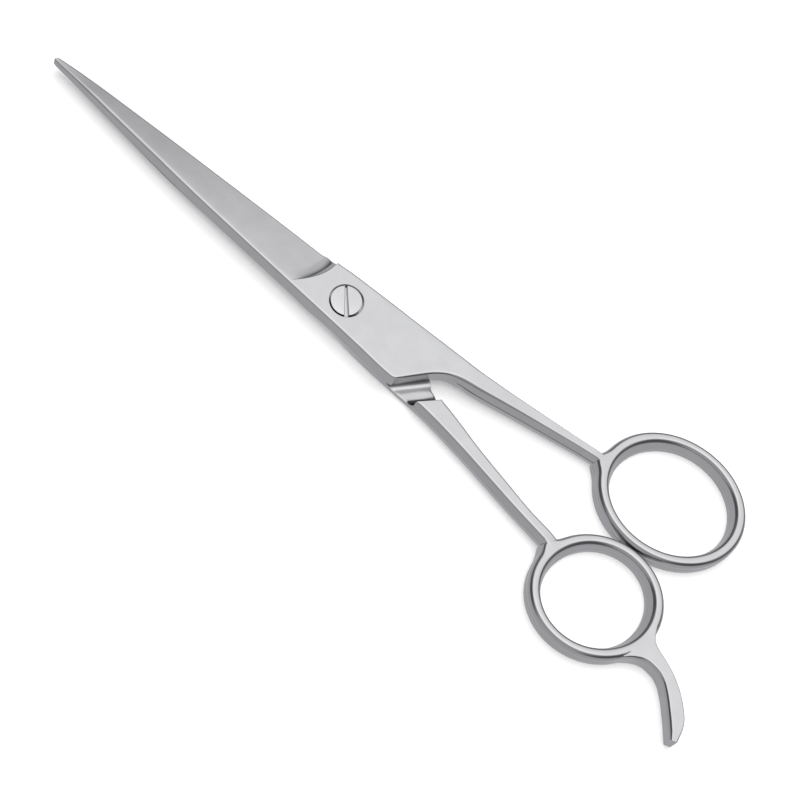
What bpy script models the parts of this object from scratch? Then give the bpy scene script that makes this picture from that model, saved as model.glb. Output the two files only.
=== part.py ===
"""Hair cutting shears: two crossed halves that turn on one slotted pivot screw.

The frame is metres with +Z up.  The origin is on the pivot axis, level with the flat underside
of the pivot block, +X runs back towards the finger rings and the blade tips point along -X.
Both halves are the same kind of forging, so each is drawn in its own local frame, in
millimetres: x along the shears, y across with the spine on the negative side, and h outwards
from the flat inner face.  The thumb half stands that frame upright on the inner plane, and the
finger half turns it over.
"""
import math

import bmesh
import bpy
from mathutils import Matrix, Vector

MM = 0.001

# Driving dimensions, in millimetres
STACK_THICKNESS = 6.5       # both halves at the pivot block
INNER_PLANE = 2.8           # height of the plane where the two halves meet
HALF_GAP = 0.3              # clearance between the two inner faces
TIP_X = -77.1
EDGE_ROUND = 0.45           # rounding of the outer edges
FORGING_DRAFT = 0.12        # the outer face is this much narrower than the inner one, each side
SHANK_BULGE = 0.25          # the sides of the shanks swell outwards at mid height

SHOULDER_X = -6.9           # where the hollow grind ends, on the cutting side
SHOULDER_SWEEP = 6.0        # how far the shoulder runs forward along the spine
SCOOP_LENGTH = 2.4          # the grind runs out in a curve of this length
CUTTING_EDGE_THICKNESS = 0.8
GRIND_HOLLOW = 0.1          # the ground face is this much deeper than a flat one

STEP_SLANT = 40.0           # degrees that the recess is turned in plan
RECESS_RADIUS = 3.4         # wheel that grinds the recess

RING_WIDTH = 2.15           # section of the finger rings
RING_HEIGHT = 4.3
THUMB_RING = {"centre": (74.65, 14.0), "long": 14.7, "short": 12.45, "turn": 12.5, "joins_at": 192.0,
              "feet": (0.9, 0.3)}   # feet: how far the foot of the inner wall leans in, at -x and +x
FINGER_RING = {"centre": (75.0, -12.8), "long": 12.6, "short": 11.5, "turn": 28.0, "joins_at": 170.5,
               "feet": (0.7, 0.8)}
JOIN_FLARE = 1.5            # the ring swells by this where the shank joins it

SCREW_HEAD_RADIUS = 3.25
SCREW_HEAD_HEIGHT = 1.5
SCREW_JOURNAL_RADIUS = 2.2
SCREW_THREAD_RADIUS = 1.8
SCREW_SLOT_WIDTH = 0.8
SCREW_SLOT_DEPTH = 0.8
SCREW_SLOT_TURN = -50.0     # degrees from +X
HEAD_GROOVE = 0.2           # open groove round the head
RUNNING_CLEARANCE = 0.05

# Outlines in the local frame, (x, y): the spine side and the cutting side of each half
THUMB_SPINE = [(-77.1, 0.65), (-76.8, 0.35), (-76.2, 0.15), (-73.0, -0.2), (-69.0, -0.6), (-60.7, -1.5),
               (-48.3, -2.65), (-36.0, -3.65), (-23.9, -4.35), (-9.8, -5.1), (0.0, -5.6), (8.0, -6.05),
               (15.5, -6.5), (16.9, -6.5), (17.8, -6.1), (18.4, -5.3), (20.2, -2.95), (22.8, 0.2),
               (25.2, 2.1), (28.0, 3.2), (31.5, 4.0), (39.4, 5.95), (47.3, 7.7), (55.2, 9.35), (60.5, 10.2)]
THUMB_EDGE = [(-77.1, 1.45), (-76.6, 1.8), (-69.8, 2.8), (-53.5, 3.9), (-37.3, 4.75), (-21.0, 5.55),
              (-14.0, 5.85), (-10.2, 6.0), (-9.2, 6.32), (0.0, 6.38), (11.6, 6.55), (19.5, 6.8), (27.5, 7.2),
              (35.4, 8.15), (43.3, 9.3), (51.2, 10.45), (60.5, 11.9)]
FINGER_SPINE = [(-77.0, -1.4), (-76.2, -1.9), (-69.8, -2.55), (-53.5, -3.6), (-37.3, -4.45),
                (-21.0, -5.2), (-12.0, -5.55), (-9.0, -5.85), (0.0, -5.9), (8.0, -6.0), (15.5, -6.1),
                (16.8, -6.1), (17.6, -5.7), (18.2, -4.9), (20.0, -3.15), (22.8, -0.5), (24.1, 0.75),
                (25.3, 1.25), (26.4, 1.95), (27.4, 2.4), (28.6, 2.6), (31.6, 3.25), (39.5, 5.2),
                (47.4, 6.8), (55.2, 8.3), (63.5, 9.2)]
FINGER_EDGE = [(-77.0, -1.1), (-76.4, -0.4), (-73.0, 0.1), (-69.6, 0.45), (-57.2, 1.8), (-40.7, 3.35),
               (-24.5, 4.25), (-9.0, 5.1), (-6.6, 5.25), (-5.0, 5.35), (0.0, 5.5), (9.0, 6.0),
               (16.0, 6.2), (20.0, 6.3), (24.0, 6.45), (27.5, 6.7), (35.6, 7.65), (43.4, 8.85),
               (51.3, 10.1), (63.5, 11.7)]

# Heights in the local frame, (x, h): the outer face, and the inner face of block and shank
THUMB_OUTER = [(-77.1, 1.7), (-72.0, 2.1), (-60.0, 2.9), (-44.0, 3.5), (-20.0, 3.7), (26.0, 3.7),
               (31.5, 3.4), (39.4, 2.8), (47.3, 2.35), (55.2, 1.95), (57.5, 1.85), (59.5, 1.35), (60.5, 1.1)]
THUMB_INNER = [(-77.1, 0.0), (24.0, 0.0), (26.0, -0.5), (29.0, -1.7), (35.0, -2.35), (43.0, -2.6),
               (60.5, -2.75)]
FINGER_OUTER = [(-77.0, 1.0), (-60.0, 1.9), (-40.0, 2.5), (-20.0, 2.8), (63.5, 2.8)]
FINGER_INNER = [(-77.0, 0.0), (22.0, 0.0), (23.5, -2.2), (40.0, -2.1), (60.0, -1.97), (61.8, -1.6),
                (62.6, -1.3)]

# The two sides of the tang in plan, (x, y), point by point from the ring to the free end
TANG_RIGHT = [(86.9, -7.4), (87.8, -9.7), (88.75, -11.6), (89.7, -12.6), (91.0, -13.2), (93.0, -13.9),
              (95.5, -14.95), (98.4, -16.7), (100.9, -18.85), (102.85, -21.15), (103.6, -22.8),
              (104.2, -25.6)]
TANG_LEFT = [(86.0, -18.8), (87.0, -18.5), (88.2, -17.75), (89.7, -17.05), (91.1, -16.8), (93.1, -17.0),
             (94.9, -17.75), (96.9, -19.4), (98.9, -21.5), (100.6, -23.4), (101.5, -24.5),
             (102.8, -26.1)]
TANG_HEIGHT = 4.3
TANG_STATIONS = 24

STATIONS = ([TIP_X + 0.3 * k for k in range(5)] + [-75.0, -73.0, -70.0, -66.0, -61.0, -55.0, -48.0]
            + [-41.0, -34.0, -27.0, -20.0, -13.0, -8.5, -6.5, -3.0, 2.0, 8.0, 13.0, 15.5]
            + [16.3, 16.8, 17.2, 17.6, 18.0, 18.6, 19.5, 20.6, 21.6, 22.3, 23.6, 25.0, 26.5]
            + [28.2, 31.0, 35.0, 40.0, 45.0, 50.0, 55.0, 59.8])


def start_clean():
    for item in list(bpy.data.objects):
        bpy.data.objects.remove(item, do_unlink=True)


def smooth_value(points, x):
    """Height at x of a smooth curve through the points that never overshoots them."""
    xs = [p[0] for p in points]
    ys = [p[1] for p in points]
    if x <= xs[0]:
        return ys[0]
    if x >= xs[-1]:
        return ys[-1]
    chords = [(ys[k + 1] - ys[k]) / (xs[k + 1] - xs[k]) for k in range(len(xs) - 1)]

    def slope(k):
        before = chords[max(k - 1, 0)]
        after = chords[min(k, len(chords) - 1)]
        return 0.0 if before * after <= 0 else 2 * before * after / (before + after)

    i = max(k for k in range(len(xs) - 1) if xs[k] <= x)
    width = xs[i + 1] - xs[i]
    t = (x - xs[i]) / width
    return ((2 * t**3 - 3 * t**2 + 1) * ys[i] + (t**3 - 2 * t**2 + t) * width * slope(i)
            + (3 * t**2 - 2 * t**3) * ys[i + 1] + (t**3 - t**2) * width * slope(i + 1))


def inset_point(outline, x, side, distance):
    """Point of an outline at x, moved inwards; side is +1 on the spine side and -1 opposite."""
    step = 0.1
    slope = (smooth_value(outline, x + step) - smooth_value(outline, x - step)) / (2 * step)
    length = math.hypot(1.0, slope)
    return x - side * slope / length * distance, smooth_value(outline, x) + side * distance / length


def loft(name, rings, closed=False):
    """Solid through rings of points that all have the same number of points."""
    mesh = bmesh.new()
    rows = [[mesh.verts.new(Vector(p) * MM) for p in ring] for ring in rings]
    count = len(rows[0])
    pairs = list(zip(rows, rows[1:]))
    if closed:
        pairs.append((rows[-1], rows[0]))
    else:
        mesh.faces.new(rows[0])
        mesh.faces.new(rows[-1])
    for first, second in pairs:
        for k in range(count):
            n = (k + 1) % count
            mesh.faces.new((first[k], first[n], second[n], second[k]))
    bmesh.ops.recalc_face_normals(mesh, faces=mesh.faces)
    data = bpy.data.meshes.new(name)
    mesh.to_mesh(data)
    mesh.free()
    result = bpy.data.objects.new(name, data)
    bpy.context.scene.collection.objects.link(result)
    return result


def cylinder(name, radius, low, high, sides=48):
    """Upright cylinder on the pivot axis between two heights."""
    bpy.ops.mesh.primitive_cylinder_add(vertices=sides, radius=radius * MM, depth=(high - low) * MM,
                                        location=(0, 0, (low + high) / 2 * MM))
    result = bpy.context.object
    result.name = name
    return result


def combine(target, other, operation):
    """Apply a Boolean with another object, which is used up."""
    modifier = target.modifiers.new(operation.lower(), "BOOLEAN")
    modifier.operation = operation
    modifier.object = other
    bpy.context.view_layer.update()
    evaluated = target.evaluated_get(bpy.context.evaluated_depsgraph_get())
    result = bpy.data.meshes.new_from_object(evaluated)
    target.modifiers.clear()
    target.data = result
    bpy.data.objects.remove(other, do_unlink=True)


def to_world(half, point):
    """Local (x, y, h) of a half as (x, y, z) of the shears."""
    x, y, h = point
    if half["turned_over"]:
        return x, -y, INNER_PLANE - HALF_GAP / 2 - h
    return x, y, INNER_PLANE + HALF_GAP / 2 + h


def half_section(half, x):
    """Ring of points round the blank of a half: blade, pivot block and shank."""
    spine, edge = half["spine"], half["edge"]
    outer = smooth_value(half["outer"], x) - HALF_GAP / 2
    inner = smooth_value(half["inner"], x)
    width = smooth_value(edge, x) - smooth_value(spine, x)
    shank = smooth_value([(20.0, 0.0), (30.0, 1.0)], x)
    draft = min(FORGING_DRAFT * (1 - shank), 0.12 * width)
    rounding = min(EDGE_ROUND, 0.2 * width)
    foot = 0.06 + 0.4 * shank
    bulge = SHANK_BULGE * shank
    rises = [(foot, inner), (0.0, inner + foot + bulge), (draft + bulge * 0.4, outer - rounding),
             (draft + rounding, outer)]
    near = [inset_point(spine, x, 1, inset) + (h,) for inset, h in rises]
    far = [inset_point(edge, x, -1, inset) + (h,) for inset, h in reversed(rises)]
    return near + far


def hollow_grind(half):
    """Cutter for the hollow-ground outer face of a blade, with its curved shoulder."""
    runs = [0.0, 0.08, 0.25, 0.55, 1.0, 4.0, 9.0, 16.0, 25.0, 35.0, 46.0, 57.0, 65.0, 72.0]
    points_across = 12
    rings = []
    for run in runs:
        along = run * SCOOP_LENGTH if run <= 1.0 else run
        fade = 1 - along / 80.0
        scoop = math.sqrt(1 - (1 - min(run, 1.0)) ** 2)
        floor = []
        for k in range(points_across + 1):
            across = (k / points_across) ** 1.6
            sweep = 1 - math.sqrt(1 - (1 - across) ** 2)
            x = SHOULDER_X - along - SHOULDER_SWEEP * fade * sweep
            spine_top = smooth_value(half["outer"], x) - HALF_GAP / 2
            depth = (spine_top - CUTTING_EDGE_THICKNESS) * across
            depth += GRIND_HOLLOW * math.sin(math.pi * across)
            low = smooth_value(half["spine"], x) + FORGING_DRAFT + 0.6 * EDGE_ROUND
            high = smooth_value(half["edge"], x) + 0.6
            floor.append((x, low + (high - low) * across, spine_top + 0.02 - depth * scoop))
        lid = [(p[0], p[1], p[2] + 6.0) for p in reversed(floor)]
        rings.append([to_world(half, p) for p in floor + lid])
    return loft("hollow_grind", rings)


def recess_wheel(half):
    """Cutter for the slanted recess between the pivot block and the shank."""
    reach = 14.0
    lift = RECESS_RADIUS - half["recess_depth"]
    back = math.sqrt(RECESS_RADIUS**2 - (lift - 2.0) ** 2)
    slant = math.radians(STEP_SLANT)
    across = Vector((math.sin(slant), -math.cos(slant), 0.0))
    centre = Vector((half["step_x"] - back * math.cos(slant), -back * math.sin(slant) + 2.0, -lift))
    side = across.cross(Vector((0, 0, 1)))
    rings = []
    for end in (-reach, reach):
        ring = []
        for k in range(32):
            angle = math.tau * k / 32
            spoke = side * math.cos(angle) + Vector((0, 0, math.sin(angle)))
            ring.append(to_world(half, centre + across * end + RECESS_RADIUS * spoke))
        rings.append(ring)
    return loft("recess_wheel", rings)


def finger_ring(name, ring):
    """Oval ring with a rounded section, swollen where its shank joins it."""
    turn = math.radians(ring["turn"])
    rings = []
    for k in range(72):
        angle = math.tau * k / 72
        local = Vector((ring["long"] * math.cos(angle), ring["short"] * math.sin(angle)))
        normal = Vector((local.x / ring["long"] ** 2, local.y / ring["short"] ** 2)).normalized()
        heading = math.degrees(angle + turn)
        away = abs((heading - ring["joins_at"] + 180) % 360 - 180)
        flare = JOIN_FLARE * math.exp(-(away / 9.0) ** 2)
        side = math.cos(math.radians(heading))
        foot = ring["feet"][int(side > 0)] * side**2
        section = []
        for j in range(12):
            around = math.tau * (j + 0.5) / 12
            reach = math.copysign(abs(math.cos(around)) ** 0.75, math.cos(around)) * RING_WIDTH / 2
            height = math.copysign(abs(math.sin(around)) ** 0.75, math.sin(around)) * RING_HEIGHT / 2
            if reach > 0:
                reach += flare
            else:
                reach -= foot * (0.5 - height / RING_HEIGHT)
            p = local + normal * reach
            x = ring["centre"][0] + p.x * math.cos(turn) - p.y * math.sin(turn)
            y = ring["centre"][1] + p.x * math.sin(turn) + p.y * math.cos(turn)
            section.append((x, y, RING_HEIGHT / 2 + height))
        rings.append(section)
    return loft(name, rings, closed=True)


def tang():
    """Curved rest for the little finger, drawn out of the finger ring."""
    sides = [[[(n, p[axis]) for n, p in enumerate(side)] for axis in (0, 1)]
             for side in (TANG_RIGHT, TANG_LEFT)]
    rings = []
    for k in range(TANG_STATIONS + 1):
        step = (len(TANG_RIGHT) - 1) * k / TANG_STATIONS
        right, left = (Vector([smooth_value(points, step) for points in side]) for side in sides)
        width = (left - right).length
        inwards = (left - right) / width
        low, high = 0.05, TANG_HEIGHT
        crisp = min(0.3, 0.2 * width)
        soft = min(0.7, 0.3 * width)
        right_wall = [(crisp, high), (0.0, high - crisp), (0.0, low + crisp), (crisp, low)]
        left_wall = [(crisp, low), (0.0, low + 2 * crisp), (0.4 * soft, high - crisp), (soft, high)]
        ring = [(*(right + inwards * inset), z) for inset, z in right_wall]
        ring += [(*(left - inwards * inset), z) for inset, z in left_wall]
        rings.append(ring)
    return loft("tang", rings)


def make_half(half):
    """One forging: blade, pivot block, shank and finger ring in a single solid."""
    stations = [x for x in STATIONS if x >= half["spine"][0][0]] + half["ends_at"]
    rings = [[to_world(half, p) for p in half_section(half, x)] for x in stations]
    body = loft(half["name"], rings)
    combine(body, hollow_grind(half), "DIFFERENCE")
    combine(body, recess_wheel(half), "DIFFERENCE")
    combine(body, finger_ring("ring", half["ring"]), "UNION")
    return body


def make_thumb_half():
    half = {"name": "thumb_half", "turned_over": False, "spine": THUMB_SPINE, "edge": THUMB_EDGE,
            "outer": THUMB_OUTER, "inner": THUMB_INNER, "ring": THUMB_RING, "ends_at": [60.3],
            "step_x": 27.5, "recess_depth": 0.6}
    body = make_half(half)
    seat = STACK_THICKNESS - SCREW_HEAD_HEIGHT - HALF_GAP
    counterbore = cylinder("counterbore", SCREW_HEAD_RADIUS + HEAD_GROOVE, seat, 9.0)
    combine(body, counterbore, "DIFFERENCE")
    journal_hole = cylinder("journal_hole", SCREW_JOURNAL_RADIUS + RUNNING_CLEARANCE, 1.0, 9.0)
    combine(body, journal_hole, "DIFFERENCE")
    return body


def make_finger_half():
    half = {"name": "finger_half", "turned_over": True, "spine": FINGER_SPINE, "edge": FINGER_EDGE,
            "outer": FINGER_OUTER, "inner": FINGER_INNER, "ring": FINGER_RING, "ends_at": [62.4],
            "step_x": 27.35, "recess_depth": 1.5}
    body = make_half(half)
    combine(body, tang(), "UNION")
    thread_hole = cylinder("thread_hole", SCREW_THREAD_RADIUS + RUNNING_CLEARANCE, -1.0, 4.0)
    combine(body, thread_hole, "DIFFERENCE")
    return body


def make_pivot_screw():
    """Turned screw: slotted flat head, plain journal and threaded end, on the pivot axis."""
    head_low = STACK_THICKNESS - SCREW_HEAD_HEIGHT
    journal_low = INNER_PLANE + HALF_GAP / 2 - 0.1
    profile = [(0.0, STACK_THICKNESS), (SCREW_HEAD_RADIUS - 0.1, STACK_THICKNESS),
               (SCREW_HEAD_RADIUS, STACK_THICKNESS - 0.1), (SCREW_HEAD_RADIUS, head_low),
               (SCREW_JOURNAL_RADIUS, head_low), (SCREW_JOURNAL_RADIUS, journal_low),
               (SCREW_THREAD_RADIUS, journal_low), (SCREW_THREAD_RADIUS, 0.1),
               (SCREW_THREAD_RADIUS - 0.1, 0.0), (0.0, 0.0)]
    data = bpy.data.meshes.new("pivot_screw")
    data.from_pydata([(x * MM, 0.0, z * MM) for x, z in profile],
                     [(k, k + 1) for k in range(len(profile) - 1)], [])
    screw = bpy.data.objects.new("pivot_screw", data)
    bpy.context.scene.collection.objects.link(screw)
    turned = screw.modifiers.new("turned", "SCREW")
    turned.steps = 48
    turned.render_steps = 48
    turned.use_merge_vertices = True
    turned.merge_threshold = 0.00001
    turned.use_smooth_shade = False
    bpy.ops.mesh.primitive_cube_add(size=MM, location=(0, 0, (STACK_THICKNESS + 1) * MM))
    slot = bpy.context.object
    slot.scale = (3 * SCREW_HEAD_RADIUS, SCREW_SLOT_WIDTH, 2 * SCREW_SLOT_DEPTH + 2)
    slot.rotation_euler.z = math.radians(SCREW_SLOT_TURN)
    combine(screw, slot, "DIFFERENCE")
    return screw


def steel(name, shade, roughness):
    material = bpy.data.materials.new(name)
    material.use_nodes = True
    surface = material.node_tree.nodes["Principled BSDF"]
    surface.inputs["Base Color"].default_value = (*shade, 1.0)
    surface.inputs["Metallic"].default_value = 1.0
    surface.inputs["Roughness"].default_value = roughness
    return material


def finish_piece(piece, collection, material):
    for owner in list(piece.users_collection):
        owner.objects.unlink(piece)
    collection.objects.link(piece)
    piece.data.materials.clear()
    piece.data.materials.append(material)
    piece.data.shade_smooth()
    piece.data.set_sharp_from_angle(angle=math.radians(30))


def main():
    start_clean()
    shears = bpy.data.collections.new("hair_cutting_shears")
    bpy.context.scene.collection.children.link(shears)
    blade_steel = steel("satin_steel", (0.66, 0.66, 0.68), 0.28)
    screw_steel = steel("screw_steel", (0.68, 0.68, 0.69), 0.25)
    finish_piece(make_thumb_half(), shears, blade_steel)
    finish_piece(make_finger_half(), shears, blade_steel)
    finish_piece(make_pivot_screw(), shears, screw_steel)


main()
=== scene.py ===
"""The looks of the hair cutting shears: fine meshes, steel materials, light and camera.

Each half is drawn in its own local frame, in millimetres: x along the shears with the tips at -x,
y across with the spine on the negative side, and h outwards from the flat inner face.  The thumb
half stands that frame upright on the inner plane, and the finger half turns it over.
"""

import math

import bmesh
import bpy
import numpy as np
from mathutils import Matrix, Vector


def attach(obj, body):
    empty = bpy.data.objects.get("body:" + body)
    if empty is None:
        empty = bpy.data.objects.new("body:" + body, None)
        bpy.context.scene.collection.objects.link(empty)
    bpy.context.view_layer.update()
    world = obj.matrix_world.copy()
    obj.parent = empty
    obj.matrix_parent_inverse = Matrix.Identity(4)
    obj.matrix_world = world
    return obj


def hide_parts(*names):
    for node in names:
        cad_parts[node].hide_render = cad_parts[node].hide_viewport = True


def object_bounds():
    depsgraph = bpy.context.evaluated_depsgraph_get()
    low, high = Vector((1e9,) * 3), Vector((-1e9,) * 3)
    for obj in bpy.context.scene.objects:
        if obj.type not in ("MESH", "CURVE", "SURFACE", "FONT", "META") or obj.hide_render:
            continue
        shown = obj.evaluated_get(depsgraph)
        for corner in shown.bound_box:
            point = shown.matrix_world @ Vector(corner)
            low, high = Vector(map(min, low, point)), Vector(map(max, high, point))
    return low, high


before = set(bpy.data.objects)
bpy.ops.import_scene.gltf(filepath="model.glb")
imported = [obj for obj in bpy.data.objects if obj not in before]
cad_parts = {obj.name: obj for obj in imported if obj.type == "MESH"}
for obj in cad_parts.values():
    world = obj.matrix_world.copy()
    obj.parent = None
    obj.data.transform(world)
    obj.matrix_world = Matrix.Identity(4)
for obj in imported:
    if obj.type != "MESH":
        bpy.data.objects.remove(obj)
cad_low, cad_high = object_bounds()

MM = 0.001

# Driving dimensions, in millimetres
STACK_TOP = cad_high.z / MM             # top face of the pivot block
INNER_PLANE = 2.8                       # height of the plane where the two halves meet
HALF_GAP = 0.1                          # between the two inner faces
EDGE_EASE = 0.6                         # the long outer edges are rounded over this width
EDGE_DROP = 0.35                        # and to this depth, and deeper on the shanks
SHANK_DROP = 0.7
FACE_DRAFT = 0.05                       # the outer face is this much narrower, each side
SHANK_BULGE = 0.22                      # the sides of the shanks swell outwards at mid height
FLASH_HEIGHT = 0.15                     # ridge left by the forging dies at mid height
FLASH_SHARE = 0.07                      # half its width, as a share of the wall
INNER_HOLLOW = 0.1                      # the inner face of a blade is ground this much hollow

SHOULDER_X = -6.4                       # where the hollow grind ends, on the cutting side
SHOULDER_SWEEP = 4.6                    # how far the shoulder runs forward along the spine
SWEEP_POWER = 1.9                       # and how late across the blade it does so
SCOOP_LENGTH = 3.7                      # the grind runs out in a curve of this length
CUTTING_EDGE_THICKNESS = 0.15

STEP_X = 27.35                          # foot of the finger shank, 2 mm from the middle line
STEP_SLANT = math.radians(40)
STEP_ROUND = 0.2
SLANT_STRETCH = 1 / math.cos(STEP_SLANT)
RECESS_REACH = 4.0                      # from the step back to the deepest line of the recess
RECESS_BACK = 2.2                       # from there to where it runs out under the thumb half
RECESS_DEPTH = 1.4
RECESS_RISE = 3.3                       # height of the step above the deepest line
RECESS_SQUARENESS = 4.5

RING_STEPS = 160                        # cross-sections round a ring
RING_HEIGHT = 4.3
RING_FLAT = 0.24                        # flat along the top of the rings, and what it gains at -x and +x
RING_FLAT_GAIN = 0.4
RING_SHOULDER = 1.0                     # width of the rounding beside the flat
RING_SHOULDER_DROP = 1.25
RING_FOOT_ROUND = 0.2
RING_FLASH = 0.06                       # the ridge on the rings, which leaves a gap between them
THUMB_RING = {"centre": (74.65, 14.0), "long": 14.7, "short": 12.45, "turn": 12.5, "joins_at": 192.0,
              "feet": (0.9, 0.3)}       # feet: how far the inner wall leans in, at -x and at +x
FINGER_RING = {"centre": (75.0, -12.8), "long": 12.6, "short": 11.5, "turn": 28.0, "joins_at": 170.5,
               "feet": (0.7, 0.8)}
JOIN_FLARE = 1.3                        # the ring swells by this at its top where the shank joins it
JOIN_FOOT = 1.5                         # and by this at its foot
JOIN_FLARE_SPREAD = 7.0                 # degrees over which each swelling dies away
JOIN_FOOT_SPREAD = 9.0
LEAN_DROPS = (0.3, 3.6)                 # drops below the top between which the lean goes from top to foot

SCREW_HEAD_RADIUS = 3.25
SCREW_HEAD_HEIGHT = 1.5
SCREW_JOURNAL_RADIUS = 2.2
SCREW_THREAD_RADIUS = 1.8
HEAD_GROOVE = 0.2
COUNTERBORE_SHIFT = (0.07, -0.05, 0.0)  # it stands slightly off the screw, as an old hand-fitted one
SLOT_WIDTH = 0.8
SLOT_DEPTH = 0.8
SLOT_TURN = math.radians(-50)

# Outlines in the local frame, (x, y): the spine side and the cutting side of each half
THUMB_SPINE = [(-77.1, 0.45), (-76.9, 0.25), (-76.2, 0.1), (-73.0, -0.2), (-69.0, -0.6), (-60.7, -1.5),
               (-48.3, -2.65), (-36.0, -3.65), (-23.9, -4.35), (-9.8, -5.1), (0.0, -5.6), (8.0, -6.05),
               (15.5, -6.5), (16.9, -6.5), (17.8, -6.1), (18.4, -5.3), (20.2, -2.95), (22.8, 0.2),
               (25.2, 2.1), (28.0, 3.2), (31.5, 4.0), (39.4, 5.95), (47.3, 7.7), (55.2, 9.35), (60.5, 10.2)]
THUMB_EDGE = [(-77.1, 1.45), (-76.6, 1.8), (-69.8, 2.8), (-53.5, 3.9), (-37.3, 4.75), (-21.0, 5.55),
              (-14.0, 5.85), (-10.2, 6.0), (-9.2, 6.32), (0.0, 6.38), (11.6, 6.55), (19.5, 6.8), (27.5, 7.2),
              (35.4, 8.15), (43.3, 9.3), (51.2, 10.45), (60.5, 11.9)]
FINGER_SPINE = [(-77.0, -1.4), (-76.2, -1.9), (-69.8, -2.55), (-53.5, -3.6), (-37.3, -4.45),
                (-21.0, -5.2), (-12.0, -5.55), (-9.0, -5.85), (0.0, -5.9), (8.0, -6.0), (15.5, -6.1),
                (16.8, -6.1), (17.6, -5.7), (18.2, -4.9), (20.0, -3.15), (22.8, -0.5), (24.1, 0.75),
                (25.3, 1.25), (26.4, 1.95), (27.4, 2.4), (28.6, 2.6), (31.6, 3.25), (39.5, 5.2),
                (47.4, 6.8), (55.2, 8.3), (63.5, 9.2)]
FINGER_EDGE = [(-77.0, -1.1), (-76.4, -0.4), (-73.0, 0.1), (-69.6, 0.45), (-57.2, 1.8), (-40.7, 3.35),
               (-24.5, 4.25), (-9.0, 5.1), (-6.6, 5.25), (-5.0, 5.35), (0.0, 5.5), (9.0, 6.0),
               (16.0, 6.2), (20.0, 6.3), (24.0, 6.45), (27.5, 6.7), (35.6, 7.65), (43.4, 8.85),
               (51.3, 10.1), (63.5, 11.7)]

# How far the wall of the cutting side leans in from its foot to its top, (x, distance)
THUMB_LEAN = [(-77.1, 0.15), (-68.0, 0.7), (-55.0, 1.0), (-6.4, 1.0), (-3.0, 0.7), (0.0, 0.53),
              (11.6, 0.15), (20.0, 0.0)]
FINGER_LEAN = [(-77.1, 1.0), (-4.0, 1.0), (0.0, 0.8), (6.0, 0.4), (12.0, 0.12), (20.0, 0.0)]

# Heights in the local frame, (x, h): the outer face, and the inner face of block and shank
THUMB_OUTER = [(-77.1, 1.7), (-72.0, 2.1), (-60.0, 2.9), (-44.0, 3.5), (-20.0, 3.7), (26.0, 3.7),
               (31.5, 3.4), (39.4, 2.8), (47.3, 2.35), (55.2, 1.95), (57.5, 1.85), (59.5, 1.35), (60.5, 1.1)]
THUMB_INNER = [(-77.1, 0.0), (24.0, 0.0), (26.0, -0.5), (29.0, -1.7), (35.0, -2.35), (43.0, -2.6),
               (60.5, -2.75)]
FINGER_OUTER = [(-77.0, 1.0), (-60.0, 1.9), (-40.0, 2.5), (-20.0, 2.8), (63.5, 2.8)]
FINGER_INNER = [(-77.0, -2.1), (23.5, -2.1), (40.0, -2.0), (60.0, -1.87), (61.8, -1.5), (62.6, -1.2)]

# How far the hollow grind lies below the outer face at the cutting side, (x, depth)
GRIND_DROP = [(-77.1, 0.08), (-72.0, 0.48), (-68.0, 0.82), (-60.0, 1.33), (-52.0, 1.83), (-40.0, 2.36),
              (-28.0, 2.65), (-20.0, 2.75), (-8.0, 2.95)]
GRIND_POWER = 1.04                      # the depth grows with this power of the share across

# The two sides of the tang in plan, (x, y), point by point from the ring to the free end
TANG_RIGHT = [(86.9, -7.4), (87.8, -9.7), (88.75, -11.6), (89.7, -12.6), (91.0, -13.2), (93.0, -13.9),
              (95.5, -14.95), (98.4, -16.7), (100.9, -18.85), (102.85, -21.15), (103.6, -22.8),
              (104.2, -25.6)]
TANG_LEFT = [(85.3, -20.0), (86.6, -19.05), (88.15, -17.85), (89.7, -17.05), (91.1, -16.8), (93.1, -17.0),
             (94.9, -17.75), (96.9, -19.4), (98.9, -21.5), (100.6, -23.4), (101.5, -24.5),
             (102.8, -26.1)]
TANG_STATIONS = 56
TANG_CRISP = 0.3                        # rounding of three of its edges, and of the upper left one
TANG_SOFT = 0.75
TANG_ROOT_DROP = 0.5                    # the top starts this much lower, inside the ring

# Studio: levels of the sky by the sine of elevation, and what the steel sees below the horizon
SKY_STRENGTH = 1.65
FRONT_SKY = [(0.0, 0.32), (0.87, 0.32), (0.955, 0.9), (1.0, 1.0)]
BACK_SKY = [(0.0, 0.05), (0.1, 0.22), (0.2, 0.38), (0.37, 0.51), (0.45, 0.6), (0.53, 0.67), (0.7, 0.74),
            (0.906, 0.81), (1.0, 1.0)]
SIDE_SHADE = 0.25                       # share of the sky's level that is left towards -x and +x
LOWER_FRONT = (0.365, 0.365, 0.375, 1.0)
LOWER_BACK = (0.06, 0.06, 0.06, 1.0)
FLOOR_GLOW = 0.27                       # lifts the contact shadow to a light grey
KEY_SIZE = 1.4                          # metres
KEY_POWER = 10.0                        # watts
KEY_PLACE = (-0.05, 0.15, 1.0)

POLISHED, GROUND, INSIDE = 0, 1, 2      # places of the three finishes in a half's material slots

# How the points of a cross-section are spread
CORNER_TURNS = [math.radians(15 * k) for k in range(7)]
WALL_SHARES = [0.12, 0.25, 0.37, 0.43, 0.465, 0.5, 0.535, 0.57, 0.64, 0.78, 0.9]
FACE_SHARES = [k / 16 for k in range(1, 16)]


# Curves and meshes ------------------------------------------------------------------------------

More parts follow.
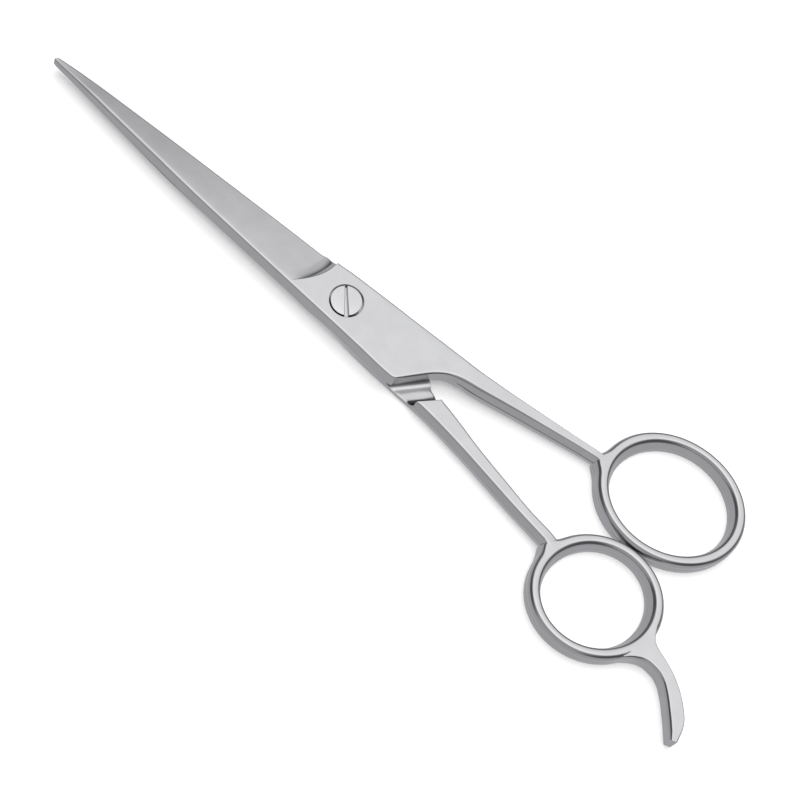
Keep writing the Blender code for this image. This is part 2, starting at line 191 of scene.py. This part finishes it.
def curve(points):
    """Smooth function through the points that never overshoots them; works on arrays."""
    xs, ys = np.array(points, float).T
    chords = np.diff(ys) / np.diff(xs)
    before, after = np.r_[chords[0], chords], np.r_[chords, chords[-1]]
    same = before * after > 0
    slopes = np.where(same, 2 * before * after / np.where(same, before + after, 1.0), 0.0)

    def value(x):
        x = np.clip(x, xs[0], xs[-1])
        i = np.clip(np.searchsorted(xs, x, side="right") - 1, 0, len(xs) - 2)
        width = xs[i + 1] - xs[i]
        t = (x - xs[i]) / width
        return ((2 * t**3 - 3 * t**2 + 1) * ys[i] + (t**3 - 2 * t**2 + t) * width * slopes[i]
                + (3 * t**2 - 2 * t**3) * ys[i + 1] + (t**3 - t**2) * width * slopes[i + 1])
    return value


def smoothstep(x, low, high):
    t = np.clip((x - low) / (high - low), 0.0, 1.0)
    return t * t * (3 - 2 * t)


def make_object(name, mesh):
    """Link a bmesh as an object of its own."""
    bmesh.ops.recalc_face_normals(mesh, faces=mesh.faces)
    data = bpy.data.meshes.new(name)
    mesh.to_mesh(data)
    mesh.free()
    result = bpy.data.objects.new(name, data)
    bpy.context.scene.collection.objects.link(result)
    return result


def loft(name, rows, closed=False, finishes=None):
    """Solid through rows of points; finishes[i][k] is the material slot of face k after row i."""
    mesh = bmesh.new()
    verts = [[mesh.verts.new(Vector(p) * MM) for p in row] for row in rows]
    count = len(verts[0])
    pairs = list(zip(verts, verts[1:]))
    if closed:
        pairs.append((verts[-1], verts[0]))
    else:
        mesh.faces.new(verts[0])
        mesh.faces.new(verts[-1])
    for i, (first, second) in enumerate(pairs):
        for k in range(count):
            n = (k + 1) % count
            face = mesh.faces.new((first[k], first[n], second[n], second[k]))
            if finishes is not None:
                face.material_index = int(finishes[i][k])
    return make_object(name, mesh)


def turned(name, profile, sides=96):
    """Solid of revolution about the pivot axis from a (radius, height) profile, in millimetres."""
    rows = []
    for k in range(sides):
        angle = math.tau * k / sides
        rows.append([(r * math.cos(angle), r * math.sin(angle), z) for r, z in profile])
    return loft(name, rows, closed=True)


def combine(target, other, operation):
    """Apply a Boolean with another object, which is used up."""
    modifier = target.modifiers.new(operation.lower(), "BOOLEAN")
    modifier.operation = operation
    modifier.object = other
    bpy.context.view_layer.update()
    evaluated = target.evaluated_get(bpy.context.evaluated_depsgraph_get())
    result = bpy.data.meshes.new_from_object(evaluated)
    target.modifiers.clear()
    target.data = result
    bpy.data.objects.remove(other, do_unlink=True)


def finish_piece(piece, body, node, materials, crease=32.0):
    """Give a piece its materials and smooth normals, and hand it to its CAD body."""
    piece.data.materials.clear()
    for material in materials:
        piece.data.materials.append(material)
    piece.data.shade_smooth()
    piece.data.set_sharp_from_angle(angle=math.radians(crease))
    weighted = piece.modifiers.new("weighted_normals", "WEIGHTED_NORMAL")
    weighted.keep_sharp = True
    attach(piece, body)
    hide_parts(node)


# The two halves ---------------------------------------------------------------------------------

def row_stations():
    """Places of the cross-sections along a half, close together where the shape turns."""
    tip = [-77.1, -76.95, -76.8, -76.6, -76.3, -76.0]
    scoop = SHOULDER_X - SCOOP_LENGTH * (1 - np.sin(np.linspace(0.1, math.pi / 2, 13)))
    valley = STEP_X - RECESS_REACH * (1 - np.sin(np.linspace(0.0, math.pi / 2, 26))) * SLANT_STRETCH
    run_out = STEP_X - (RECESS_REACH + RECESS_BACK * np.linspace(0.0, 1.0, 8)) * SLANT_STRETCH
    rim = STEP_X + STEP_ROUND * (1 - np.cos(np.linspace(0.3, math.pi / 2, 5))) * SLANT_STRETCH
    return np.unique(np.round(np.r_[tip, np.linspace(-75.6, -10.0, 50), scoop,
                                    np.linspace(SHOULDER_X + 0.3, 18.5, 28), run_out, valley, rim,
                                    np.linspace(28.2, 60.0, 34)], 4))


def blade_depth(s, c, x, thickness):
    """How far the ground face lies below the outer face, at station s and share c across."""
    run = np.clip((SHOULDER_X - s) / SCOOP_LENGTH, 0.0, 1.0)
    scoop = np.sqrt(1 - (1 - run) ** 2)
    return scoop * np.minimum(curve(GRIND_DROP)(x), 0.85 * thickness) * c**GRIND_POWER


def inner_height(half, s, c, x):
    """Height of the inner face: flat block, slightly hollow blade, and the shank beyond the step."""
    hollow = INNER_HOLLOW * np.sin(math.pi * c) * (1 - smoothstep(s, -16.0, -10.0))
    beyond = curve(half["inner"])(x)
    if not half["turned_over"]:
        return HALF_GAP / 2 + hollow + beyond
    p = (s - STEP_X) / SLANT_STRETCH
    out = np.clip(1 + p / RECESS_REACH, 0.0, 1.0)
    wall = (1 - out**RECESS_SQUARENESS) ** (1 / RECESS_SQUARENESS)
    back = np.clip((-RECESS_REACH - p) / RECESS_BACK, 0.0, 1.0)
    valley = RECESS_DEPTH - RECESS_RISE * (1 - wall) - (RECESS_DEPTH - HALF_GAP / 2) * back**2
    turn = STEP_ROUND - np.clip(p, 0.0, STEP_ROUND)
    rim = beyond + STEP_ROUND - np.sqrt(np.maximum(STEP_ROUND**2 - turn**2, 0.0))
    return np.where(p < 0, valley + hollow, rim)


def station_shift(half, s, c, y):
    """Shift of a station along x that makes it follow the curved shoulder and the slanted step."""
    forward = (s - half["spine"][0][0]) / (SHOULDER_X - half["spine"][0][0])
    fade = np.where(s < SHOULDER_X, forward, 1 - smoothstep(s, SHOULDER_X, 14.0))
    shift = -SHOULDER_SWEEP * fade * (1 - c) ** SWEEP_POWER
    if half["turned_over"]:
        near = smoothstep(s, 13.0, 19.0) * (1 - smoothstep(s, 29.0, 45.0))
        shift = shift + near * math.tan(STEP_SLANT) * (2.0 - np.maximum(y, -0.5))
    return shift


def place_across(half, s, c):
    """x and y of the points at share c across (0 spine, 1 cutting side), one for each station."""
    spine, edge = curve(half["spine"]), curve(half["edge"])
    low, high = s - 12.0, s + 12.0
    for _ in range(40):
        x = (low + high) / 2
        y = spine(x) * (1 - c) + edge(x) * c
        beyond = x - s > station_shift(half, s, c, y)
        low, high = np.where(beyond, low, x), np.where(beyond, x, high)
    return x, y


def side_points(half, s, side):
    """Wall and rounded corners of one side: arrays x, y, h of shape (stations, points), inner to outer.

    Also returns the shift in x and y of the outer and of the inner corner's end, for the faces.
    """
    x, y = place_across(half, s, float(side))
    outline = curve(half["edge"] if side else half["spine"])
    slope = (outline(x + 0.05) - outline(x - 0.05)) / 0.1
    facing = -1.0 if side else 1.0
    inwards = np.array([-slope, np.ones_like(slope)]) * facing / np.hypot(1.0, slope)
    thickness = curve(half["outer"])(x)
    outer = thickness - blade_depth(s, float(side), x, thickness)
    inner = inner_height(half, s, float(side), x)
    shank = smoothstep(s, 24.0, 30.0)
    width = curve(half["edge"])(x) - curve(half["spine"])(x)
    out_round = np.minimum(half["ease"], 0.14 * width)
    out_drop = np.minimum(EDGE_DROP + shank * (SHANK_DROP - EDGE_DROP), 0.45 * (outer - inner))
    lean = 0.0
    if side:
        sharp = 1 - smoothstep(s, SHOULDER_X - 1.5, SHOULDER_X)
        out_drop = out_drop + sharp * (outer - inner - CUTTING_EDGE_THICKNESS - out_drop)
        out_round = out_round + sharp * (np.minimum(0.5 * out_drop, 0.4 * width) - out_round)
        lean = curve(half["lean"])(x) * (outer - inner) / thickness
    in_round = np.minimum(0.05 + 0.55 * smoothstep(s, STEP_X - 0.6, STEP_X + 1.0), 0.3 * (outer - inner))
    draft = FACE_DRAFT * (1 - shank) + lean
    points = []
    for a in CORNER_TURNS[::-1]:
        points.append((in_round * (1 - math.cos(a)), inner + in_round * (1 - math.sin(a))))
    for w in WALL_SHARES:
        flash = FLASH_HEIGHT * max(0.0, 1 - abs(w - 0.5) / FLASH_SHARE)
        swell = shank * (SHANK_BULGE * 4 * w * (1 - w) + flash)
        points.append((draft * w - swell, inner + in_round + (outer - out_drop - inner - in_round) * w))
    for a in CORNER_TURNS:
        points.append((draft + out_round * (1 - math.cos(a)), outer - out_drop * (1 - math.sin(a))))
    inset = np.stack([p[0] * np.ones_like(x) for p in points], 1)
    heights = np.stack([p[1] for p in points], 1)
    xs = x[:, None] + inwards[0][:, None] * inset
    ys = y[:, None] + inwards[1][:, None] * inset
    shifts = [(inwards[0] * inset[:, k], inwards[1] * inset[:, k]) for k in (0, -1)]
    return (xs, ys, heights), shifts


def face_points(half, s, shifts, outer):
    """Points of the outer or the inner face between its two corners, from spine to cutting side."""
    (dx0, dy0), (dx1, dy1) = shifts
    columns = []
    for c in FACE_SHARES:
        x, y = place_across(half, s, c)
        thickness = curve(half["outer"])(x)
        h = thickness - blade_depth(s, c, x, thickness) if outer else inner_height(half, s, c, x)
        columns.append((x + (1 - c) * dx0 + c * dx1, y + (1 - c) * dy0 + c * dy1, h))
    return [np.stack([column[axis] for column in columns], 1) for axis in range(3)]


def half_rows(half):
    """Cross-sections of blade, block and shank, and the finish of every face between them."""
    s = np.array([p for p in row_stations() if p >= half["spine"][0][0]] + [half["ends_at"]])
    spine, spine_shifts = side_points(half, s, 0)
    edge, edge_shifts = side_points(half, s, 1)
    inner = face_points(half, s, (spine_shifts[0], edge_shifts[0]), outer=False)
    outer = face_points(half, s, (spine_shifts[1], edge_shifts[1]), outer=True)
    grid = [np.concatenate([inner[k], edge[k], outer[k][:, ::-1], spine[k][:, ::-1]], 1) for k in range(3)]
    faces, sides = len(FACE_SHARES), edge[0].shape[1]
    kinds = [INSIDE] * faces + [POLISHED] * sides + [GROUND] * faces + [POLISHED] * (sides - 1) + [INSIDE]
    kinds[faces + sides - 1] = GROUND
    finishes = []
    for station in s[1:]:
        ground = GROUND if station <= SHOULDER_X + 0.01 else POLISHED
        inside = INSIDE if station <= half["inside_to"] else POLISHED
        finishes.append([{GROUND: ground, INSIDE: inside}.get(kind, POLISHED) for kind in kinds])
    rows = [[to_world(half, point) for point in zip(*(axis[i] for axis in grid))] for i in range(len(s))]
    return rows, finishes


def to_world(half, point):
    """Local (x, y, h) of a half as (x, y, z) of the shears."""
    x, y, h = point
    if half["turned_over"]:
        return x, -y, INNER_PLANE - h
    return x, y, INNER_PLANE + h


def ring_section(flat, flare, flare_foot, inner_foot):
    """Profile of a finger ring, (reach, height) from the middle of its base, counter-clockwise."""
    points = []
    for way, top, foot in ((1, flare, flare_foot), (-1, 0.0, inner_foot)):
        side = []
        for a in CORNER_TURNS:
            side.append((RING_SHOULDER * math.sin(a), RING_SHOULDER_DROP * (1 - math.cos(a))))
        wall = RING_HEIGHT - RING_SHOULDER_DROP - RING_FOOT_ROUND
        for w in WALL_SHARES:
            flash = RING_FLASH * max(0.0, 1 - abs(w - 0.5) / FLASH_SHARE)
            side.append((RING_SHOULDER + flash, RING_SHOULDER_DROP + wall * w))
        for a in CORNER_TURNS[::-1]:
            side.append((RING_SHOULDER - RING_FOOT_ROUND * (1 - math.sin(a)),
                         RING_HEIGHT - RING_FOOT_ROUND * (1 - math.cos(a))))
        spread = [flat / 2 + top + (foot - top) * smoothstep(drop, *LEAN_DROPS) for _, drop in side]
        side = [(way * (reach + out), RING_HEIGHT - drop) for (reach, drop), out in zip(side, spread)]
        points += side if way > 0 else side[::-1]
    return points


def finger_ring(name, ring):
    """Oval ring with a rounded section, swollen where its shank joins it."""
    turn = math.radians(ring["turn"])
    rows = []
    for k in range(RING_STEPS):
        angle = math.tau * k / RING_STEPS
        local = Vector((ring["long"] * math.cos(angle), ring["short"] * math.sin(angle)))
        normal = Vector((local.x / ring["long"] ** 2, local.y / ring["short"] ** 2)).normalized()
        heading = math.degrees(angle + turn)
        away = abs((heading - ring["joins_at"] + 180) % 360 - 180)
        side = math.cos(math.radians(heading))
        flat = RING_FLAT + RING_FLAT_GAIN * side**2
        flare = JOIN_FLARE * math.exp(-(away / JOIN_FLARE_SPREAD) ** 2)
        flare_foot = JOIN_FOOT * math.exp(-(away / JOIN_FOOT_SPREAD) ** 2)
        section = ring_section(flat, flare, flare_foot, ring["feet"][int(side > 0)] * side**2)
        row = []
        for reach, height in section:
            p = local + normal * reach
            row.append((ring["centre"][0] + p.x * math.cos(turn) - p.y * math.sin(turn),
                        ring["centre"][1] + p.x * math.sin(turn) + p.y * math.cos(turn), height))
        rows.append(row)
    return loft(name, rows, closed=True)


def tang():
    """Curved rest for the little finger, drawn out of the finger ring."""
    sides = [[curve([(n, p[axis]) for n, p in enumerate(side)]) for axis in (0, 1)]
             for side in (TANG_RIGHT, TANG_LEFT)]
    rows = []
    for step in np.linspace(0, len(TANG_RIGHT) - 1, TANG_STATIONS):
        right, left = (Vector((float(side[0](step)), float(side[1](step)))) for side in sides)
        width = (left - right).length
        inwards = (left - right) / width
        crisp = min(TANG_CRISP, 0.2 * width)
        soft = min(TANG_SOFT, 0.3 * width)
        top = RING_HEIGHT - TANG_ROOT_DROP * max(0.0, 1 - step)
        row = []
        for a in CORNER_TURNS[::-1]:
            row.append((*(right + inwards * crisp * (1 - math.cos(a))), top - crisp * (1 - math.sin(a))))
        for a in CORNER_TURNS:
            row.append((*(right + inwards * crisp * (1 - math.cos(a))), crisp * (1 - math.sin(a))))
        for a in CORNER_TURNS[::-1]:
            row.append((*(left - inwards * crisp * (1 - math.cos(a))), crisp * (1 - math.sin(a))))
        for a in CORNER_TURNS:
            row.append((*(left - inwards * soft * (1 - math.cos(a))), top - 1.4 * soft * (1 - math.sin(a))))
        rows.append(row)
    return loft("tang", rows)


def make_half(half, materials):
    """One forging: blade, pivot block, shank and finger ring in a single solid."""
    rows, finishes = half_rows(half)
    body = loft(half["piece"], rows, finishes=finishes)
    for material in materials:
        body.data.materials.append(material)
    combine(body, finger_ring("ring", half["ring"]), "UNION")
    return body


def make_thumb_half(materials):
    half = {"piece": "thumb_half_fine", "turned_over": False, "spine": THUMB_SPINE, "edge": THUMB_EDGE,
            "outer": THUMB_OUTER, "inner": THUMB_INNER, "lean": THUMB_LEAN, "ring": THUMB_RING,
            "ends_at": 60.3, "inside_to": 24.0, "ease": EDGE_EASE}
    body = make_half(half, materials)
    seat = STACK_TOP - SCREW_HEAD_HEIGHT - 0.1
    wall = SCREW_HEAD_RADIUS + HEAD_GROOVE
    counterbore = turned("counterbore", [(0.0, seat), (wall, seat), (wall, STACK_TOP - 0.14),
                                         (wall + 0.16, STACK_TOP + 0.02), (wall + 0.16, 9.0), (0.0, 9.0)])
    counterbore.data.transform(Matrix.Translation(Vector(COUNTERBORE_SHIFT) * MM))
    combine(body, counterbore, "DIFFERENCE")
    combine(body, turned("journal_hole", [(0.0, 1.0), (SCREW_JOURNAL_RADIUS + 0.05, 1.0),
                                          (SCREW_JOURNAL_RADIUS + 0.05, 9.0), (0.0, 9.0)]), "DIFFERENCE")
    finish_piece(body, "thumb_half", "thumb_half", materials)


def make_finger_half(materials):
    half = {"piece": "finger_half_fine", "turned_over": True, "spine": FINGER_SPINE, "edge": FINGER_EDGE,
            "outer": FINGER_OUTER, "inner": FINGER_INNER, "lean": FINGER_LEAN, "ring": FINGER_RING,
            "ends_at": 62.4, "inside_to": STEP_X - 9.0, "ease": EDGE_DROP}
    body = make_half(half, materials)
    combine(body, tang(), "UNION")
    combine(body, turned("thread_hole", [(0.0, -1.0), (SCREW_THREAD_RADIUS + 0.2, -1.0),
                                         (SCREW_THREAD_RADIUS + 0.2, 0.0), (SCREW_THREAD_RADIUS + 0.03, 0.17),
                                         (SCREW_THREAD_RADIUS + 0.03, 4.0), (0.0, 4.0)]), "DIFFERENCE")
    finish_piece(body, "finger_half", "finger_half", materials)


# The screw --------------------------------------------------------------------------------------

def screw_slot():
    """Cutter for the screwdriver slot, with bevelled edges and one end worn wider."""
    rows = []
    for along, wear in ((-4.0, 0.4), (0.0, 0.75), (4.0, 1.1)):
        half_width = SLOT_WIDTH / 2 * wear
        section = [(half_width * 0.9, -SLOT_DEPTH), (half_width, -0.1), (half_width + 0.1, 0.01),
                   (half_width + 0.1, 1.0)]
        section += [(-x, z) for x, z in reversed(section)]
        rows.append([(along, y, STACK_TOP + z) for y, z in section])
    slot = loft("slot", rows)
    slot.data.transform(Matrix.Rotation(SLOT_TURN, 4, "Z"))
    return slot


def make_screw(material):
    head_low = STACK_TOP - SCREW_HEAD_HEIGHT
    journal_low = INNER_PLANE + 0.05
    rim = [(SCREW_HEAD_RADIUS - 0.14 * (1 - math.sin(a)), STACK_TOP - 0.14 * (1 - math.cos(a)))
           for a in np.linspace(0, math.pi / 2, 5)]
    profile = [(0.0, STACK_TOP)] + rim
    profile += [(SCREW_HEAD_RADIUS, head_low), (SCREW_JOURNAL_RADIUS, head_low),
                (SCREW_JOURNAL_RADIUS, journal_low), (SCREW_THREAD_RADIUS, journal_low),
                (SCREW_THREAD_RADIUS, 0.2), (SCREW_THREAD_RADIUS - 0.2, 0.02), (0.0, 0.02)]
    screw = turned("pivot_screw_fine", profile)
    screw.data.materials.append(material)
    combine(screw, screw_slot(), "DIFFERENCE")
    finish_piece(screw, "pivot_screw", "pivot_screw", [material])


# Materials --------------------------------------------------------------------------------------

def steel(name, shade, roughness, grain, relief):
    """Stainless steel: fine grain drawn out along one direction and soft mottling."""
    material = bpy.data.materials.new(name)
    material.use_nodes = True
    nodes, links = material.node_tree.nodes, material.node_tree.links
    surface = nodes["Principled BSDF"]
    surface.inputs["Metallic"].default_value = 1.0
    where = nodes.new("ShaderNodeTexCoord")
    stretch = nodes.new("ShaderNodeMapping")
    stretch.inputs["Scale"].default_value = grain
    links.new(where.outputs["Object"], stretch.inputs["Vector"])
    lines = nodes.new("ShaderNodeTexNoise")
    lines.inputs["Scale"].default_value = 1.0
    lines.inputs["Detail"].default_value = 4.0
    links.new(stretch.outputs["Vector"], lines.inputs["Vector"])
    mottle = nodes.new("ShaderNodeTexNoise")
    mottle.inputs["Scale"].default_value = 260.0
    mottle.inputs["Detail"].default_value = 3.0
    links.new(where.outputs["Object"], mottle.inputs["Vector"])
    tint = nodes.new("ShaderNodeMapRange")
    tint.inputs["From Min"].default_value = 0.3
    tint.inputs["From Max"].default_value = 0.7
    links.new(mottle.outputs["Fac"], tint.inputs["Value"])
    colours = nodes.new("ShaderNodeMix")
    colours.data_type = "RGBA"
    colours.inputs["A"].default_value = (*[v * 0.97 for v in shade], 1.0)
    colours.inputs["B"].default_value = (*[min(1.0, v * 1.03) for v in shade], 1.0)
    links.new(tint.outputs["Result"], colours.inputs["Factor"])
    links.new(colours.outputs["Result"], surface.inputs["Base Color"])
    gloss = nodes.new("ShaderNodeMapRange")
    gloss.inputs["From Min"].default_value = 0.3
    gloss.inputs["From Max"].default_value = 0.7
    gloss.inputs["To Min"].default_value = roughness * 0.9
    gloss.inputs["To Max"].default_value = roughness * 1.1
    links.new(lines.outputs["Fac"], gloss.inputs["Value"])
    links.new(gloss.outputs["Result"], surface.inputs["Roughness"])
    bump = nodes.new("ShaderNodeBump")
    bump.inputs["Strength"].default_value = relief
    bump.inputs["Distance"].default_value = 0.00001
    links.new(lines.outputs["Fac"], bump.inputs["Height"])
    links.new(bump.outputs["Normal"], surface.inputs["Normal"])
    return material


# Stage ------------------------------------------------------------------------------------------

def make_floor():
    bpy.ops.mesh.primitive_plane_add(size=4.0, location=(0, 0, cad_low.z - 0.00002))
    floor = bpy.context.object
    floor.name = "floor"
    material = bpy.data.materials.new("white_floor")
    material.use_nodes = True
    surface = material.node_tree.nodes["Principled BSDF"]
    surface.inputs["Base Color"].default_value = (0.75, 0.75, 0.75, 1.0)
    surface.inputs["Roughness"].default_value = 0.9
    surface.inputs["Specular IOR Level"].default_value = 0.0
    surface.inputs["Emission Color"].default_value = (1.0, 1.0, 1.0, 1.0)
    surface.inputs["Emission Strength"].default_value = FLOOR_GLOW
    floor.data.materials.append(material)
    floor.visible_glossy = False


def blend(nodes, links, value, ends, low, high):
    """Mix node going from one colour to another as the value goes from one end to the other."""
    step = nodes.new("ShaderNodeMapRange")
    step.inputs["From Min"].default_value = ends[0]
    step.inputs["From Max"].default_value = ends[1]
    links.new(value, step.inputs["Value"])
    mix = nodes.new("ShaderNodeMix")
    mix.data_type = "RGBA"
    links.new(step.outputs["Result"], mix.inputs["Factor"])
    for colour, end in ((low, "A"), (high, "B")):
        if isinstance(colour, tuple):
            mix.inputs[end].default_value = colour
        else:
            links.new(colour, mix.inputs[end])
    return mix


def make_studio():
    """Sky of the white tent: bright overhead, softer at the back, dimmer low down and to both ends."""
    world = bpy.data.worlds.new("studio")
    world.use_nodes = True
    bpy.context.scene.world = world
    nodes, links = world.node_tree.nodes, world.node_tree.links
    where = nodes.new("ShaderNodeTexCoord")
    split = nodes.new("ShaderNodeSeparateXYZ")
    links.new(where.outputs["Generated"], split.inputs["Vector"])
    front = nodes.new("ShaderNodeValToRGB")
    back = nodes.new("ShaderNodeValToRGB")
    for ramp, stops in ((front, FRONT_SKY), (back, BACK_SKY)):
        elements = ramp.color_ramp.elements
        while len(elements) < len(stops):
            elements.new(0.5)
        for element, (height, level) in zip(elements, stops):
            element.position = height
            element.color = (level, level, level * 1.01, 1.0)
        links.new(split.outputs["Z"], ramp.inputs["Fac"])
    across = nodes.new("ShaderNodeMath")
    across.operation = "ABSOLUTE"
    links.new(split.outputs["X"], across.inputs[0])
    along = blend(nodes, links, split.outputs["Y"], (-0.15, 0.15),
                  front.outputs["Color"], back.outputs["Color"])
    shade = nodes.new("ShaderNodeMapRange")
    shade.inputs["From Min"].default_value = 0.4
    shade.inputs["From Max"].default_value = 0.7
    shade.inputs["To Min"].default_value = 1.0
    shade.inputs["To Max"].default_value = SIDE_SHADE
    links.new(across.outputs["Value"], shade.inputs["Value"])
    upper = nodes.new("ShaderNodeVectorMath")
    upper.operation = "SCALE"
    links.new(along.outputs["Result"], upper.inputs["Vector"])
    links.new(shade.outputs["Result"], upper.inputs["Scale"])
    lower = blend(nodes, links, split.outputs["Y"], (0.75, 0.92), LOWER_FRONT, LOWER_BACK)
    level = blend(nodes, links, split.outputs["Z"], (-0.02, 0.02),
                  lower.outputs["Result"], upper.outputs["Vector"])
    background = nodes["Background"]
    background.inputs["Strength"].default_value = SKY_STRENGTH
    links.new(level.outputs["Result"], background.inputs["Color"])


def make_lights():
    """One broad soft key from behind and above, which throws the faint shadow to the front."""
    key = bpy.data.lights.new("key", "AREA")
    key.shape = "DISK"
    key.size = KEY_SIZE
    key.energy = KEY_POWER
    lamp = bpy.data.objects.new("key", key)
    lamp.location = KEY_PLACE
    lamp.visible_glossy = False
    lamp.rotation_euler = (Vector((0.01, 0, 0)) - lamp.location).to_track_quat("-Z", "Y").to_euler()
    bpy.context.scene.collection.objects.link(lamp)


def make_camera():
    """Camera at the height, side and roll of the picture's viewpoint."""
    data = bpy.data.cameras.new("camera")
    data.sensor_width = 36.0
    data.lens = 97.65
    data.clip_start = 0.01
    camera = bpy.data.objects.new("camera", data)
    azimuth, elevation = math.radians(9.551), math.radians(64.959)
    back = Vector((math.sin(azimuth) * math.cos(elevation), -math.cos(azimuth) * math.cos(elevation),
                   math.sin(elevation)))
    camera.location = Vector((0.02063, -0.00612, 0.0)) + back * 0.43159
    roll = Matrix.Rotation(math.radians(31.41), 3, back)
    camera.rotation_euler = (roll @ back.to_track_quat("Z", "Y").to_matrix()).to_euler()
    bpy.context.scene.collection.objects.link(camera)
    bpy.context.scene.camera = camera


forged = steel("polished_steel", (0.495, 0.495, 0.505), 0.13, (300.0, 3000.0, 3000.0), 0.3)
ground = steel("ground_steel", (0.60, 0.60, 0.62), 0.23, (4000.0, 400.0, 4000.0), 0.5)
inside = steel("inner_face_steel", (0.50, 0.50, 0.51), 0.22, (4000.0, 300.0, 4000.0), 0.5)
screw_steel = steel("screw_steel", (0.54, 0.54, 0.55), 0.16, (2000.0, 2000.0, 2000.0), 0.3)

make_thumb_half([forged, ground, inside])
make_finger_half([forged, ground, inside])
make_screw(screw_steel)
make_floor()
make_studio()
make_lights()
make_camera()
bpy.context.scene.view_settings.view_transform = "Standard"
